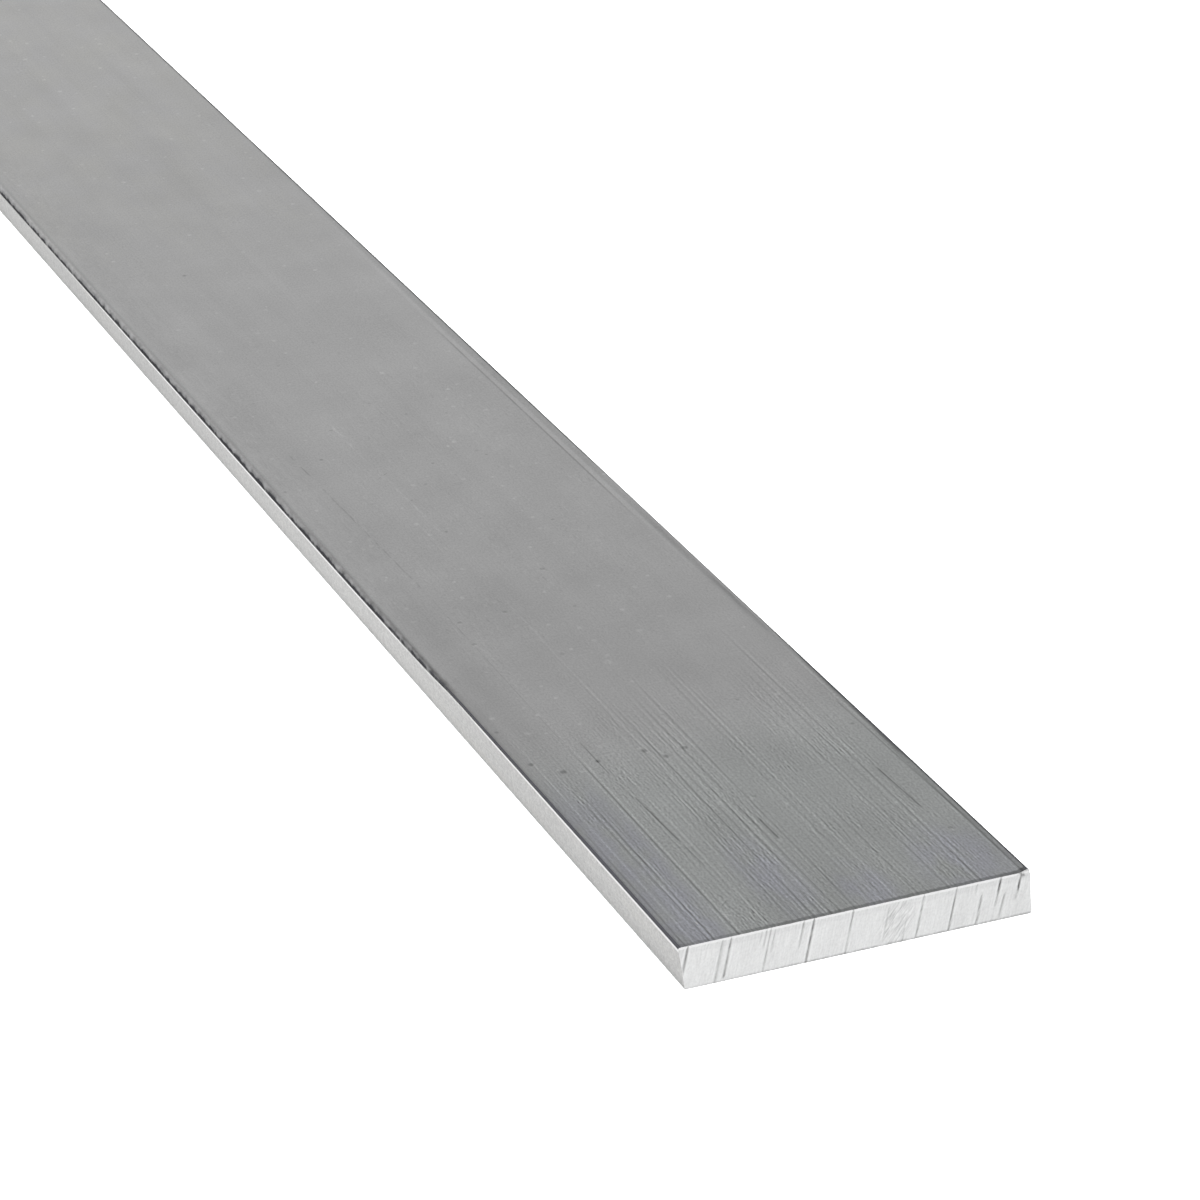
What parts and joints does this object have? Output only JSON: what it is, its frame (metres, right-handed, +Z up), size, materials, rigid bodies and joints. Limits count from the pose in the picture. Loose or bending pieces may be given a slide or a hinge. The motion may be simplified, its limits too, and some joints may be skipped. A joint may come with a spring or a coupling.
{
  "type": "metal flat bar",
  "caption": "Straight rectangular flat bar of mill-finish aluminium with barely eased long edges and square saw-cut ends, raw stock to cut, drill, bend or fasten.",
  "frame": {"origin": "centre of the lower wide face, which the bar rests on", "axes": "+X across the width, +Y along the length away from the saw cut that the picture shows, +Z up through the thickness"},
  "size_m": [0.05, 1, 0.006],
  "materials": {
    "mill_aluminium": "mill finish as extruded: satin grey wide faces with fine lengthwise die lines, brighter narrow faces, bright saw-cut ends with slanted saw marks"
  },
  "bodies": {
    "root": {"flat_bar": "mill_aluminium"}
  },
  "joints": []
}
